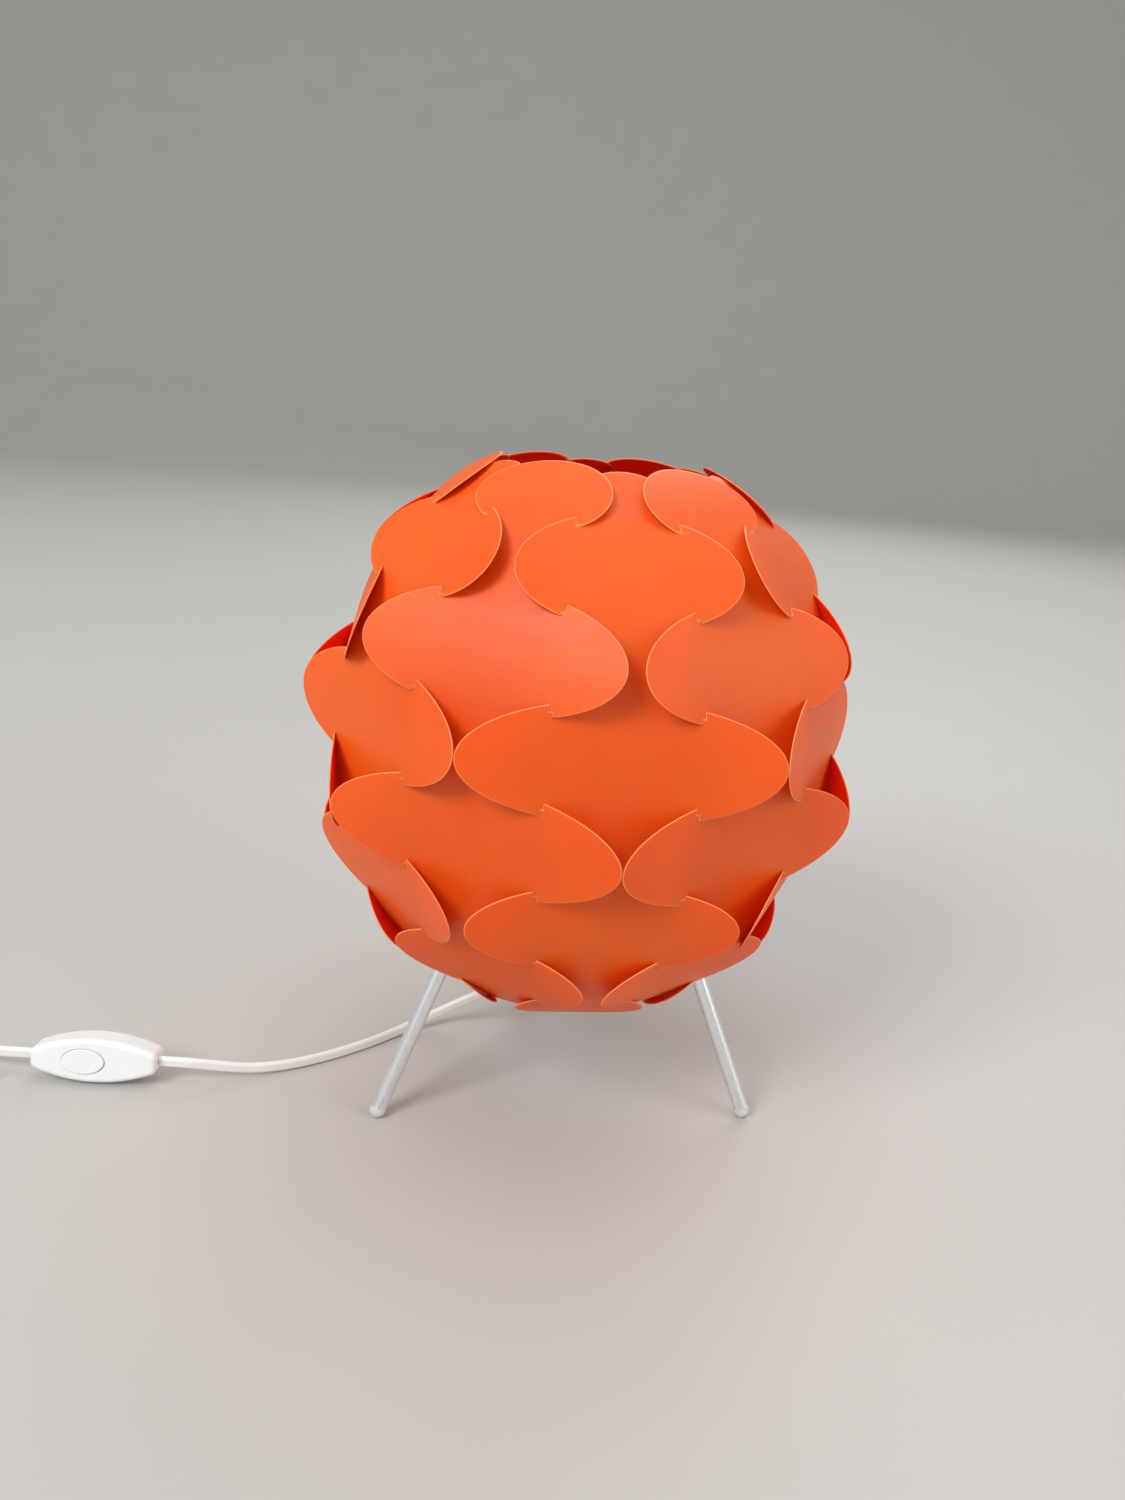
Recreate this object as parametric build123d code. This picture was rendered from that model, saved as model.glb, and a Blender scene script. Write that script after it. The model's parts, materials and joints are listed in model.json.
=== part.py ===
from build123d import *
import os
from math import cos, pi, radians, sin, tan

# Table lamp: a ball of hooked plastic strips on three splayed legs, with a mains cord and an inline switch.
# Frame: +Z up, the origin on the table under the lamp's axis, front towards -Y. Millimetres.

# ---- Shade: strips bent along their length only, each facing straight out from the axis ----
STRIP_COUNT = 12
STRIP_STEP = 360 / STRIP_COUNT
HALF_STEP = radians(STRIP_STEP / 2)  # neighbours cross on the plane half a step away
SHEET = 0.6
EQUATOR_HEIGHT = 185.0
EQUATOR_APOTHEM = 117.4  # from the axis to the middle of the sheet
ROW_PITCH = 39.0  # along the sheet, from one row of crossings to the next
EQUATOR_BEND = 195.0  # bend radius for one row each side of the equator
SHOULDER_BEND = 135.0  # bend radius from there to the ends
RIM_PITCH = 29.0
BLANK_END = 3 * ROW_PITCH + 36.5  # from the equator to the end of the uncut sheet, along it
STRIP_BLANK = 75.0  # half the width that an oval may reach
HOOK = 3.0  # how far an oval reaches past its row of crossings, along the sheet
SLIT_HALF = 1.7  # the slit's width on each side of the crossing plane
SLIT_CLEARANCE = 0.3
SLIT_LENGTH = 12.0
NECK_INSET = 2.2  # a neck stays this far inside the crossing plane
OVAL_HALF_WIDTHS = {"B": 46.5, "D": 67.0, "F": 58.5, "H": 30.0}
OVAL_ROWS = {"B": (3, 2), "D": (1, 0), "F": (-1, -2), "H": (-3, -4)}  # the rows above and below each oval
TONGUE_HALF_WIDTH = 13.6
TONGUE_HALF_HEIGHT = 4.6
TONGUE_ALONG = 142.0  # from the equator to its middle, along the sheet

# ---- Legs ----
LEG_COUNT = 3
LEG_TILT = 25.0
FOOT_RADIUS = 107.0  # where a leg's axis meets the table
LEG_R = 3.75
STUD_R = 2.5
STUD_LENGTH = 14.0
RUNNING_GAP = 0.05
SHOULDER_BELOW_SHEET = 2.2
SOCKET_ABOVE_SHEET = 3.0
SOCKET_R = 6.0
TIP_R = 3.95
TIP_TOP = 5.6
TIP_SPIGOT_R = 2.3
TIP_SPIGOT_LENGTH = 6.0
TIP_FLAT = 0.25  # how much of the round tip is worn flat against the table
STRIP_HOLE_R = 3.2

# ---- Leg plate and lampholder, all on the axis ----
PLATE_UNDERSIDE = 95.0
PLATE_THICKNESS = 1.5
PLATE_R = 71.0
PLATE_RIM = 6.0
NIPPLE_R = 5.0
NIPPLE_BORE_R = 3.5
NIPPLE_BOTTOM = 82.0
NIPPLE_TOP = 101.0
WASHER_THICKNESS = 0.8
NUT_THICKNESS = 3.5
NUT_ACROSS_FLATS = 14.0
GRIP_BOTTOM = 74.0
GRIP_TOP = 89.0
GRIP_R = 8.0
GRIP_WALL = 2.5
CORE_R = 0.9
CORE_SPACING = 1.05
HOLDER_R = 14.5
CAP_TOP = 116.0
CAP_LEDGE = 108.0
HOLDER_TOP = 147.0
CARRIER_R = 12.7
CARRIER_TOP = 119.0
SLEEVE_R = 7.6
SLEEVE_WALL = 0.45
SLEEVE_TOP = 141.0
BULB_CAP_R = 6.95
BULB_CAP_TOP = 147.0
BULB_BALL_R = 22.5
BULB_BALL_HEIGHT = 177.0
GLASS = 0.9
NECK_R = 6.8

# ---- Inline switch: lies on its long edge, button facing forwards ----
SWITCH_MIDDLE = (-229.3, -21.5)
SWITCH_YAW = -6.0
SWITCH_ROLL = 80.0  # from lying on its back
SWITCH_LENGTH = 61.0
SWITCH_WIDTH = 22.0
SWITCH_END_WIDTH = 9.0
SWITCH_CORNER_R = 3.5
SWITCH_SEAM = 8.0  # from the back face, also the height of the cord's axis
SWITCH_DEPTH = 14.5
SWITCH_WALL = 1.6
SEAM_GROOVE = 0.5  # both the width and the depth of the shadow line round the seam
BACK_ROUNDING = 2.0
FRONT_ROUNDING = 2.4
SHELL_SCREW = (21.0, -4.2)
BUTTON_OFFSET = -4.6
BUTTON_HALF = (10.3, 6.2)
BUTTON_FLANGE = (11.4, 7.2)
BUTTON_GAP = 0.3
BUTTON_PROUD = 0.9
BUTTON_TRAVEL = 2.0
STEM_R = 1.5
SPRING_R = 2.2
SPRING_WIRE_R = 0.25
GUIDE_FLOOR = 2.8
ROTOR_TOP = 5.4
TERMINAL_X = 15.5

# ---- Cord ----
CORD_D = 5.4
CORD_R = CORD_D / 2
CORD_LENGTH = 1800.0
COIL_CENTRE = (-326.0, -45.5)
COIL_MEAN_R = 5.6 * CORD_D
COIL_START_R = COIL_MEAN_R + 2 * CORD_D  # the outer turn on the table
COIL_END_R = COIL_MEAN_R + 1.65 * CORD_D  # the outer turn of the upper layer
COIL_HALF_WIDTH = 2.5 * CORD_D
COIL_HEIGHT = 10.8
ARC_SHARE = 0.45
TIE_ANGLE = 20.0

# ---- Plug ----
PLUG_MIDDLE_Y = -128.0
PLUG_X = -367.4
PLUG_LENGTH = 34.0
PLUG_WIDTH = 35.0
PLUG_THICKNESS = 13.7
COLLAR_LENGTH = 24.0
PIN_R = 2.0
PIN_LENGTH = 19.0
PIN_SLEEVE_LENGTH = 10.0
PIN_SPACING = 18.6

PARTS = {}


def keep(name, shape):
    """Adds a finished sub-part, moved to its place, under its node name."""
    PARTS[name] = shape


def cylinder(radius, low, high, x=0.0, y=0.0):
    """An upright cylinder between two heights."""
    return Pos(x, y, (low + high) / 2) * Cylinder(radius, high - low)


def ring(outer, inner, low, high):
    """An upright tube between two heights."""
    return cylinder(outer, low, high) - cylinder(inner, low - 1, high + 1)


def brick(x, y, z):
    """A box from three (low, high) pairs."""
    size = [pair[1] - pair[0] for pair in (x, y, z)]
    return Pos(*[sum(pair) / 2 for pair in (x, y, z)]) * Box(*size)


def turned(points):
    """A solid turned about Z from its half outline, given as (radius, height)."""
    outline = Plane.XZ * make_face(Polyline(*points, close=True))
    return revolve(outline, Axis.Z)


# ---- The sheet's curve ----
def sheet_point(along, offset=0.0):
    """(distance from the axis, height above the equator) of a point on the bent sheet."""
    distance = abs(along)
    bend_one = min(distance, ROW_PITCH) / EQUATOR_BEND
    bend_two = bend_one + max(distance - ROW_PITCH, 0) / SHOULDER_BEND
    out = EQUATOR_APOTHEM - EQUATOR_BEND * (1 - cos(bend_one))
    out -= SHOULDER_BEND * (cos(bend_one) - cos(bend_two))
    up = EQUATOR_BEND * sin(bend_one)
    up += SHOULDER_BEND * (sin(bend_two) - sin(bend_one))
    out += offset * cos(bend_two)
    up += offset * sin(bend_two)
    return out, up if along >= 0 else -up


def crossing_at(along):
    """(half width, height) where a strip meets the planes half way to its neighbours."""
    out, up = sheet_point(along)
    return out * tan(HALF_STEP), up


def crossing(row):
    """The same at a row of crossings. The rim's row, the fourth, is nearer than the others."""
    rim = 3 * ROW_PITCH + RIM_PITCH
    return crossing_at(ROW_PITCH * row if abs(row) < 4 else (rim if row > 0 else -rim))


def bent_sheet():
    """The sheet before it is cut: the bent profile, STRIP_BLANK to each side."""
    bends = (-BLANK_END, -ROW_PITCH, ROW_PITCH, BLANK_END)

    def at(along, offset):
        out, up = sheet_point(along, offset)
        return (-out, up)

    def side(offset):
        edges = []
        for low, high in zip(bends, bends[1:]):
            edges.append(ThreePointArc(at(low, offset), at((low + high) / 2, offset), at(high, offset)))
        return edges

    ends = [Line(at(end, -SHEET / 2), at(end, SHEET / 2)) for end in (bends[0], bends[-1])]
    profile = Plane.YZ * make_face(side(-SHEET / 2) + side(SHEET / 2) + ends)
    return extrude(profile, STRIP_BLANK, both=True)


def oval_outline(name):
    """One oval, seen from the front of its strip."""
    above, below = OVAL_ROWS[name]
    (top_half, top), (low_half, low) = crossing(above), crossing(below)
    slope = (top - low) / (ROW_PITCH if abs(above) < 3 or abs(below) < 4 else RIM_PITCH)
    middle_half = (top_half + low_half) / 2
    wide = OVAL_HALF_WIDTHS[name]
    tall = ((top - low) / 2 + HOOK * slope) / (1 - (middle_half / wide) ** 2) ** 0.5
    return Pos(0, (top + low) / 2) * Ellipse(wide, tall)


def neck_outline(upper_row, lower_row):
    """The neck between two ovals, a little inside the crossing planes."""
    (top_half, top), (low_half, low) = crossing(upper_row), crossing(lower_row)
    top_half -= NECK_INSET
    low_half -= NECK_INSET
    into = 8.0
    corners = [(top_half, top + into), (top_half, top), (low_half, low), (low_half, low - into)]
    return make_face(Polyline(*corners, *[(-x, y) for x, y in reversed(corners)], close=True))


def tongue_outline():
    """The rounded end above the last oval, with its neck."""
    half, low = crossing(3)
    half -= NECK_INSET
    neck_half = TONGUE_HALF_WIDTH - 1.2
    middle = sheet_point(TONGUE_ALONG)[1]
    corners = [(neck_half, middle), (half, low), (half, low - 6)]
    neck = make_face(Polyline(*corners, *[(-x, y) for x, y in reversed(corners)], close=True))
    return neck + Pos(0, middle) * Ellipse(TONGUE_HALF_WIDTH, TONGUE_HALF_HEIGHT)


def strip_outline():
    """The whole strip seen from the front: tongue, four ovals and their necks, less the slits."""
    outline = tongue_outline()
    for name in OVAL_ROWS:
        outline += oval_outline(name)
    for upper_row, lower_row in ((2, 1), (0, -1), (-2, -3)):
        outline += neck_outline(upper_row, lower_row)
    for above, below in OVAL_ROWS.values():
        for row, way in ((above, 1), (below, -1)):
            if row == -4:
                continue
            start = ROW_PITCH * row - way * SLIT_CLEARANCE
            (near, near_height), (far, far_height) = crossing_at(start), crossing_at(start + way * SLIT_LENGTH)
            corners = [
                (near - SLIT_HALF, near_height), (near + SLIT_HALF, near_height),
                (far + SLIT_HALF, far_height), (far - SLIT_HALF, far_height),
            ]
            for side in (-1, 1):
                outline -= make_face(Polyline(*[(side * x, y) for x, y in corners], close=True))
    return outline


def leg_frame():
    """Z up a leg from the table, for the leg under the strip that faces the front."""
    tilt = radians(LEG_TILT)
    return Plane(origin=(0, -FOOT_RADIUS, 0), x_dir=(1, 0, 0), z_dir=(0, sin(tilt), cos(tilt)))


def sheet_crossing_on_leg():
    """How far up a leg its axis meets the sheet of the strip that it holds."""
    tilt = radians(LEG_TILT)
    above, below = 2 * ROW_PITCH, BLANK_END
    for _ in range(40):
        middle = (above + below) / 2
        sheet_out, sheet_up = sheet_point(-middle)
        height = EQUATOR_HEIGHT + sheet_up
        leg_out = FOOT_RADIUS - height * tan(tilt)
        above, below = (middle, below) if sheet_out > leg_out else (above, middle)
    return height / cos(tilt)


def make_strips():
    """Twelve strips. Every second one is turned upside down. The legs pass through three of them."""
    sheet = bent_sheet()
    outline = extrude(Plane.XZ * strip_outline(), 2 * EQUATOR_APOTHEM)
    strip = sheet & outline
    hole = leg_frame() * cylinder(STRIP_HOLE_R, 50, 110)
    for index in range(STRIP_COUNT):
        flipped = index % 2 == 1
        held = index % 4 == 2
        body = Rot(0, 180 if flipped else 0, 0) * strip
        body = Pos(0, 0, EQUATOR_HEIGHT) * body
        if held:
            body = body - hole
        keep(f"shade_strip_{index + 1:02d}", Rot(0, 0, STRIP_STEP * index) * body)


def make_legs():
    """Legs, tips and sockets, under strips 3, 7 and 11."""
    frame = leg_frame()
    meet = sheet_crossing_on_leg()
    shoulder = meet - SHOULDER_BELOW_SHEET
    socket_low = meet + SOCKET_ABOVE_SHEET
    tip_middle = (TIP_R - TIP_FLAT) / cos(radians(LEG_TILT))
    tip = Pos(0, 0, tip_middle) * Sphere(TIP_R) + cylinder(TIP_R, tip_middle, TIP_TOP)
    tip -= cylinder(2 * TIP_R, TIP_TOP, TIP_TOP + TIP_R)
    tip += cylinder(TIP_SPIGOT_R, TIP_TOP, TIP_TOP + TIP_SPIGOT_LENGTH)
    tip = frame * tip - brick((-20, 20), (-150, -60), (-20, 0))
    rod = cylinder(LEG_R, TIP_TOP, shoulder) + cylinder(STUD_R, shoulder, shoulder + STUD_LENGTH)
    rod -= cylinder(TIP_SPIGOT_R + RUNNING_GAP, TIP_TOP - 1, TIP_TOP + TIP_SPIGOT_LENGTH + 1)
    rod = frame * rod
    socket = cylinder(SOCKET_R, socket_low, socket_low + 40)
    socket -= cylinder(STUD_R + RUNNING_GAP, socket_low - 1, shoulder + STUD_LENGTH + 1)
    socket = frame * socket - brick((-60, 60), (-150, 60), (PLATE_UNDERSIDE, 200))
    for number, index in enumerate((2, 6, 10), start=1):
        turn = Rot(0, 0, STRIP_STEP * index)
        keep(f"foot_tip_{number}", turn * tip)
        keep(f"leg_{number}", turn * rod)
        keep(f"leg_socket_{number}", turn * socket)


def make_base():
    """The pressed plate, and what holds the lampholder and the cord to it."""
    top = PLATE_UNDERSIDE + PLATE_THICKNESS
    plate = cylinder(PLATE_R, PLATE_UNDERSIDE, top)
    plate += ring(PLATE_R, PLATE_R - PLATE_THICKNESS, top, PLATE_UNDERSIDE + PLATE_RIM)
    plate -= cylinder(NIPPLE_R + 0.15, PLATE_UNDERSIDE - 1, top + 1)
    keep("leg_plate", plate)
    keep("holder_nipple", ring(NIPPLE_R, NIPPLE_BORE_R, NIPPLE_BOTTOM, NIPPLE_TOP))
    washer_low = PLATE_UNDERSIDE - WASHER_THICKNESS
    washer = ring(9.0, NIPPLE_R + 0.1, washer_low, PLATE_UNDERSIDE)
    for index in range(8):
        notch = brick((7.2, 10), (-0.8, 0.8), (washer_low - 1, PLATE_UNDERSIDE + 1))
        washer -= Rot(0, 0, 45 * index) * notch
    keep("lock_washer", washer)
    nut = extrude(RegularPolygon(NUT_ACROSS_FLATS / 2, 6, major_radius=False), NUT_THICKNESS)
    nut = Pos(0, 0, washer_low - NUT_THICKNESS) * nut
    nut -= cylinder(NIPPLE_R + 0.02, 80, 100)
    keep("nipple_nut", nut)
    grip = cylinder(GRIP_R, GRIP_BOTTOM, GRIP_TOP)
    grip = fillet(grip.edges().filter_by(GeomType.CIRCLE).sort_by(Axis.Z)[0], 2.5)
    grip -= cylinder(NIPPLE_R + 0.02, NIPPLE_BOTTOM, GRIP_TOP + 1)
    grip -= cylinder(3.2, GRIP_BOTTOM + GRIP_WALL, NIPPLE_BOTTOM + 1)
    grip -= cylinder(CORE_SPACING + CORE_R + 0.05, GRIP_BOTTOM - 1, GRIP_BOTTOM + GRIP_WALL + 1)
    screw_height = 79.5
    along_x = Pos(0, 0, screw_height) * Rot(0, 90, 0)
    grip -= along_x * cylinder(1.55, 2.5, 9)
    keep("cord_grip", grip)
    screw = cylinder(1.5, 2.3, 8.05) + cylinder(2.6, 8.05, 9.6)
    screw -= brick((-3, 3), (-0.35, 0.35), (9.0, 10.0))
    keep("cord_grip_screw", along_x * screw)


def make_holder():
    """The lampholder: cap, contact carrier, contacts and body."""
    low = PLATE_UNDERSIDE + PLATE_THICKNESS
    cap = turned([
        (NIPPLE_R + 0.02, low), (11.5, low), (HOLDER_R, low + 5), (HOLDER_R, CAP_TOP),
        (CARRIER_R + 0.2, CAP_TOP), (CARRIER_R + 0.2, CAP_LEDGE), (11.2, CAP_LEDGE),
        (11.2, low + 5), (9.5, low + 3), (NIPPLE_R + 0.02, low + 3),
    ])
    keep("lampholder_cap", cap)
    body = turned([
        (HOLDER_R, CAP_TOP), (HOLDER_R, HOLDER_TOP - 1.5), (HOLDER_R - 1.5, HOLDER_TOP),
        (11.0, HOLDER_TOP), (11.0, 112.0), (CARRIER_R + 0.1, 112.0), (CARRIER_R + 0.1, CAP_TOP),
    ])
    for index in range(24):
        rib = brick((HOLDER_R - 0.5, HOLDER_R + 1), (-0.5, 0.5), (CAP_TOP + 4, HOLDER_TOP - 6))
        body -= Rot(0, 0, 15 * index) * rib
    keep("lampholder_body", body)
    carrier = cylinder(CARRIER_R, CAP_LEDGE, 112.0) + cylinder(9.5, 112.0, CARRIER_TOP)
    for side in (-1, 1):
        carrier -= cylinder(1.25, CAP_LEDGE - 1, 112.5, side * 6.0)
    keep("contact_carrier", carrier)
    sleeve = ring(SLEEVE_R, SLEEVE_R - SLEEVE_WALL, CARRIER_TOP, SLEEVE_TOP)
    keep("contact_sleeve", sleeve)
    tongue = brick((-2.2, 2.2), (-5.5, 2.2), (CARRIER_TOP, CARRIER_TOP + 0.5))
    tongue += cylinder(1.8, CARRIER_TOP + 0.5, CARRIER_TOP + 2.0)
    keep("centre_contact", tongue)
    screws = []
    for side in (-1, 1):
        screw = cylinder(1.2, 105.5, 112.0, side * 6.0) + cylinder(2.2, 105.5, CAP_LEDGE, side * 6.0)
        slot = (side * 6.0 - 3, side * 6.0 + 3)
        screws.append(screw - brick(slot, (-0.3, 0.3), (105.0, 106.1)))
    keep("holder_terminal_screws", Compound(children=screws))
    cores = []
    for side in (-1, 1):
        route = FilletPolyline(
            (side * CORE_SPACING, 0, GRIP_BOTTOM), (side * CORE_SPACING, 0, 101.5),
            (side * 2.8, 0, 106.8), radius=4.0,
        )
        cores.append(sweep(Plane(origin=route @ 0, z_dir=route % 0) * Circle(CORE_R), path=route))
    keep("supply_cores", Compound(children=cores))


def make_bulb():
    """A small ball bulb: glass, threaded cap and base contact."""
    contact_low = CARRIER_TOP + 2.0
    base = turned([(0, contact_low), (1.6, contact_low), (2.6, 122.4), (0, 122.4)])
    keep("bulb_base_contact", base)
    cap = turned([
        (0, 122.4), (3.4, 122.4), (BULB_CAP_R, 125.5), (BULB_CAP_R, BULB_CAP_TOP), (BULB_CAP_R - 1.0, BULB_CAP_TOP),
        (BULB_CAP_R - 1.0, 126.0), (0, 126.0),
    ])
    for turn in range(5):
        groove = Pos(0, 0, 127.5 + 2.8 * turn) * Torus(BULB_CAP_R + 0.35, 0.9)
        cap -= groove
    keep("bulb_cap", cap)

    def side(inset):
        leave = radians(48)
        ball = BULB_BALL_R - inset
        join = (ball * cos(leave), BULB_BALL_HEIGHT - ball * sin(leave))
        middle = (ball * cos(radians(20)), BULB_BALL_HEIGHT + ball * sin(radians(20)))
        arc = ThreePointArc((0, BULB_BALL_HEIGHT + ball), middle, join)
        heading = (-sin(leave), -cos(leave))
        neck = Spline(join, (NECK_R - inset, BULB_CAP_TOP), tangents=(heading, (0, -1)))
        return [arc, neck]

    ends = [
        Line((0, BULB_BALL_HEIGHT + BULB_BALL_R), (0, BULB_BALL_HEIGHT + BULB_BALL_R - GLASS)),
        Line((NECK_R, BULB_CAP_TOP), (NECK_R - GLASS, BULB_CAP_TOP)),
    ]
    glass = Plane.XZ * make_face(side(0.0) + side(GLASS) + ends)
    keep("bulb_glass", revolve(glass, Axis.Z))


# ---- The inline switch, made lying on its back and then placed ----
def switch_frame():
    """The placed switch's own frame: X along it, Z out of its button, the origin in its back face."""
    yaw, roll = radians(SWITCH_YAW), radians(SWITCH_ROLL)
    face = Vector(sin(yaw) * sin(roll), -cos(yaw) * sin(roll), cos(roll))
    straight = SWITCH_WIDTH / 2 - BACK_ROUNDING
    height = BACK_ROUNDING + straight * sin(roll) - BACK_ROUNDING * cos(roll)
    back = face * -SWITCH_SEAM
    origin = Vector(SWITCH_MIDDLE[0] + back.X, SWITCH_MIDDLE[1] + back.Y, height)
    return Plane(origin=origin, x_dir=(cos(yaw), sin(yaw), 0), z_dir=face)


def switch_plan(inset):
    """The lens-shaped outline, inset all round."""
    half, bulge, end = SWITCH_LENGTH / 2 - inset, SWITCH_WIDTH / 2 - inset, SWITCH_END_WIDTH / 2 - inset
    sides = [ThreePointArc((-half, way * end), (0, way * bulge), (half, way * end)) for way in (-1, 1)]
    ends = [Line((way * half, -end), (way * half, end)) for way in (-1, 1)]
    plan = make_face(sides + ends)
    return fillet(plan.vertices(), SWITCH_CORNER_R - inset)


def make_switch_shells(frame):
    """The back shell, the front shell with the button's window, and the screws that join them."""
    inner = SWITCH_WALL
    front_depth = SWITCH_DEPTH - SWITCH_SEAM
    cord_hole = Pos(0, 0, SWITCH_SEAM) * Rot(0, 90, 0) * Cylinder(CORE_SPACING + CORE_R + 0.1, 2 * SWITCH_LENGTH)
    groove = extrude(switch_plan(-SEAM_GROOVE) - switch_plan(SEAM_GROOVE), SEAM_GROOVE)
    groove = Pos(0, 0, SWITCH_SEAM - SEAM_GROOVE / 2) * groove
    back = extrude(switch_plan(0), SWITCH_SEAM)
    back = fillet(back.faces().sort_by(Axis.Z)[0].edges(), BACK_ROUNDING)
    back -= Pos(0, 0, inner) * extrude(switch_plan(inner), SWITCH_SEAM)
    front = extrude(switch_plan(0), front_depth)
    front = fillet(front.faces().sort_by(Axis.Z)[-1].edges(), FRONT_ROUNDING)
    front -= Pos(0, 0, -1) * extrude(switch_plan(inner), front_depth - inner + 1)
    front = Pos(0, 0, SWITCH_SEAM) * front
    screws = []
    for x in (-SHELL_SCREW[0], SHELL_SCREW[0]):
        y = SHELL_SCREW[1]
        back += cylinder(2.0, inner, SWITCH_SEAM, x, y)
        back -= cylinder(1.05, -1, SWITCH_SEAM + 1, x, y)
        back -= cylinder(1.8, -1, 1.2, x, y)
        front += cylinder(2.0, SWITCH_SEAM, SWITCH_DEPTH - 1, x, y)
        front -= cylinder(1.0, SWITCH_SEAM - 1, SWITCH_DEPTH - 2.5, x, y)
        screw = cylinder(0.95, 1.0, SWITCH_DEPTH - 3, x, y) + cylinder(1.7, 0.2, 1.2, x, y)
        screws.append(screw - brick((x - 3, x + 3), (y - 0.3, y + 0.3), (-1, 0.6)))
    window = Ellipse(BUTTON_HALF[0] + BUTTON_GAP, BUTTON_HALF[1] + BUTTON_GAP)
    front -= Pos(BUTTON_OFFSET, 0, SWITCH_SEAM) * extrude(window, SWITCH_DEPTH)
    keep("switch_back_shell", frame * (back - cord_hole - groove))
    keep("switch_front_shell", frame * (front - cord_hole - groove))
    keep("switch_shell_screws", frame * Compound(children=screws))


def make_switch_button(frame):
    """The button with its flange and stem, its spring, the turning contact and the guide under them."""
    here = frame * Pos(BUTTON_OFFSET, 0, 0)
    flange_top = SWITCH_DEPTH - SWITCH_WALL - 0.2
    flange_low = flange_top - 1.2
    cap = extrude(Ellipse(*BUTTON_HALF), SWITCH_DEPTH + BUTTON_PROUD - flange_low)
    button = Pos(0, 0, flange_low) * fillet(cap.faces().sort_by(Axis.Z)[-1].edges(), 0.5)
    button += Pos(0, 0, flange_low) * extrude(Ellipse(*BUTTON_FLANGE), flange_top - flange_low)
    button += cylinder(STEM_R, ROTOR_TOP + BUTTON_TRAVEL + 0.2, flange_low)
    keep("switch_button", here * button)
    spring_low = ROTOR_TOP + 0.02
    rise = flange_low - spring_low - 2 * SPRING_WIRE_R
    coil = Helix(pitch=rise / 4, height=rise, radius=SPRING_R)
    spring = sweep(Plane(origin=coil @ 0, z_dir=coil % 0) * Circle(SPRING_WIRE_R), path=coil)
    keep("switch_return_spring", here * Pos(0, 0, spring_low + SPRING_WIRE_R) * spring)
    rotor = cylinder(4.2, GUIDE_FLOOR + 0.05, ROTOR_TOP) + cylinder(1.2, SWITCH_WALL + 0.2, GUIDE_FLOOR + 0.05)
    rotor -= ring(SPRING_R + 0.5, SPRING_R - 0.5, ROTOR_TOP - BUTTON_TRAVEL - 0.2, ROTOR_TOP + 1)
    for side in (-1, 1):
        across = sorted((side * 4.0, side * 4.9))
        rotor += brick(across, (-0.9, 0.9), (GUIDE_FLOOR + 0.4, ROTOR_TOP - 0.4))
    keep("switch_rotor", here * rotor)
    guide = brick((-8, 8), (-5.9, 5.9), (SWITCH_WALL, GUIDE_FLOOR))
    guide -= cylinder(1.25, 0, 5)
    for side in (-1, 1):
        guide += brick((-8, 8), sorted((side * 5.4, side * 5.9)), (GUIDE_FLOOR, ROTOR_TOP + 0.8))
    keep("switch_guide", here * guide)


def make_switch_wiring(frame):
    """The fixed contacts, terminal screws, cord clamps and core ends inside the switch."""
    tail_low = ROTOR_TOP + 0.6
    tail_top = tail_low + 0.5
    contacts, terminals, clamps, cores = [], [], [], []
    for side in (-1, 1):
        inside, outside = side * 5.0 + BUTTON_OFFSET, side * TERMINAL_X
        upright = brick(sorted((inside, inside + side * 0.4)), (-1.1, 1.1), (GUIDE_FLOOR, tail_top))
        tail = brick(sorted((inside, outside + side * 2.2)), (-2.2, 1.1), (tail_low, tail_top))
        contacts.append(upright + tail)
        screw = cylinder(1.0, tail_top, 8.2, outside, -CORE_SPACING) + cylinder(1.8, 8.2, 9.2, outside, -CORE_SPACING)
        terminals.append(screw)
        clamp_x = side * 26.3
        clamp_low = SWITCH_SEAM + CORE_R
        clamps.append(brick((clamp_x - 1.5, clamp_x + 1.5), (-2.8, 2.8), (clamp_low, clamp_low + 1.4)))
        live = sorted((side * (TERMINAL_X + 1.9), side * SWITCH_LENGTH / 2))
        core = Rot(0, 90, 0) * Cylinder(CORE_R, live[1] - live[0])
        cores.append(Pos(sum(live) / 2, -CORE_SPACING, SWITCH_SEAM) * core)
    half = SWITCH_LENGTH / 2
    corners = [(-half, CORE_SPACING), (-27, CORE_SPACING), (-11, 6.9), (11, 6.9), (27, CORE_SPACING), (half, CORE_SPACING)]
    neutral = FilletPolyline(*[(x, y, SWITCH_SEAM) for x, y in corners], radius=8.0)
    cores.append(sweep(Plane(origin=neutral @ 0, z_dir=neutral % 0) * Circle(CORE_R), path=neutral))
    keep("switch_fixed_contacts", frame * Compound(children=contacts))
    keep("switch_terminal_screws", frame * Compound(children=terminals))
    keep("switch_cord_clamps", frame * Compound(children=clamps))
    keep("switch_cores", frame * Compound(children=cores))


def make_switch():
    """The switch's shells, button and works, in their places."""
    frame = switch_frame()
    make_switch_shells(frame)
    make_switch_button(frame)
    make_switch_wiring(frame)


# ---- The cord ----
def arc_radii(points):
    """Each corner's arc radius: as large as the shorter of its two runs allows."""
    radii = []
    for before, corner, after in zip(points, points[1:], points[2:]):
        arriving, leaving = Vector(*corner) - Vector(*before), Vector(*after) - Vector(*corner)
        turn = radians(arriving.get_angle(leaving))
        radii.append(ARC_SHARE * min(arriving.length, leaving.length) / tan(turn / 2))
    return radii


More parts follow.
